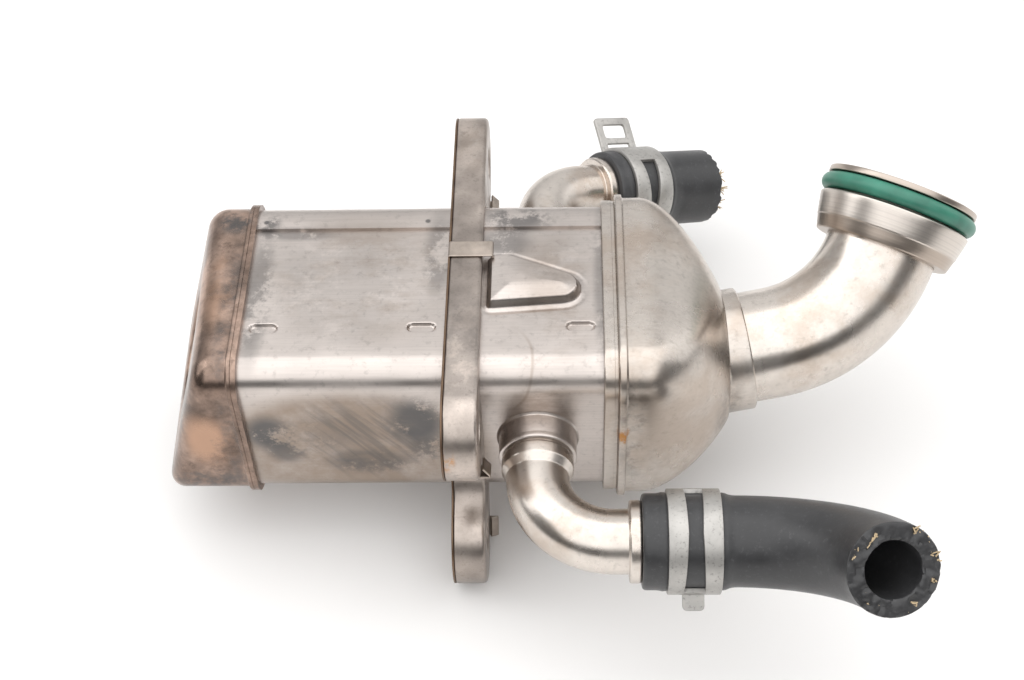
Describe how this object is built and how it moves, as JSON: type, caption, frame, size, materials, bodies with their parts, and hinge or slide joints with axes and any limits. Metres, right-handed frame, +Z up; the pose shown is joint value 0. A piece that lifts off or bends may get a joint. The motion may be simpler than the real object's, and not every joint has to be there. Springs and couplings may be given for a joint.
{
  "type": "exhaust gas cooler",
  "caption": "Flanged stainless exhaust gas cooler: box jacket with flat gas tubes inside, drawn inlet cap, outlet cone with bent gas pipe and sealing ring, clamped coolant hose stubs.",
  "frame": {"origin": "on the axis of the jacket, at the flange plate's sealing face", "axes": "+X along the gas flow from the inlet cap to the outlet elbow, +Y to the back, +Z up, as the picture shows it"},
  "size_m": [0.2028, 0.1723, 0.0798],
  "materials": {
    "tinted_stainless": "heat tinted satin",
    "jacket_stainless": "satin with smudges",
    "drawn_stainless": "satin",
    "pipe_stainless": "satin",
    "turned_stainless": "turned",
    "flange_steel": "stained satin",
    "gasket_steel": "heat tinted",
    "inner_stainless": "plain",
    "clamp_zinc": "speckled zinc coating",
    "hose_rubber": "matt",
    "ring_rubber": "satin"
  },
  "bodies": {
    "root": {"inlet_cap": "tinted_stainless", "inlet_tube_plate": "tinted_stainless", "front_jacket_sheet": "jacket_stainless", "rear_jacket_sheet": "jacket_stainless", "outlet_tube_plate": "drawn_stainless", "outlet_cone": "drawn_stainless", "gas_elbow": "pipe_stainless", "end_fitting": "turned_stainless", "sealing_ring": "ring_rubber", "flange_plate": "flange_steel", "flange_gasket": "gasket_steel", "coolant_baffle": "inner_stainless", "front_tube_comb": "inner_stainless", "rear_tube_comb": "inner_stainless", "front_coolant_pipe": "pipe_stainless", "rear_coolant_pipe": "pipe_stainless", "front_hose": "hose_rubber", "rear_hose": "hose_rubber", "front_hose_clamp": "clamp_zinc", "rear_hose_clamp": "clamp_zinc", "gas_tube_1": "inner_stainless", "gas_tube_2": "inner_stainless", "gas_tube_3": "inner_stainless", "gas_tube_4": "inner_stainless", "gas_tube_5": "inner_stainless", "gas_tube_6": "inner_stainless", "gas_tube_7": "inner_stainless", "gas_tube_8": "inner_stainless", "gas_tube_9": "inner_stainless", "gas_tube_10": "inner_stainless", "fin_1": "inner_stainless", "fin_2": "inner_stainless", "fin_3": "inner_stainless", "fin_4": "inner_stainless", "fin_5": "inner_stainless", "fin_6": "inner_stainless", "fin_7": "inner_stainless", "fin_8": "inner_stainless", "fin_9": "inner_stainless", "fin_10": "inner_stainless"}
  },
  "joints": []
}
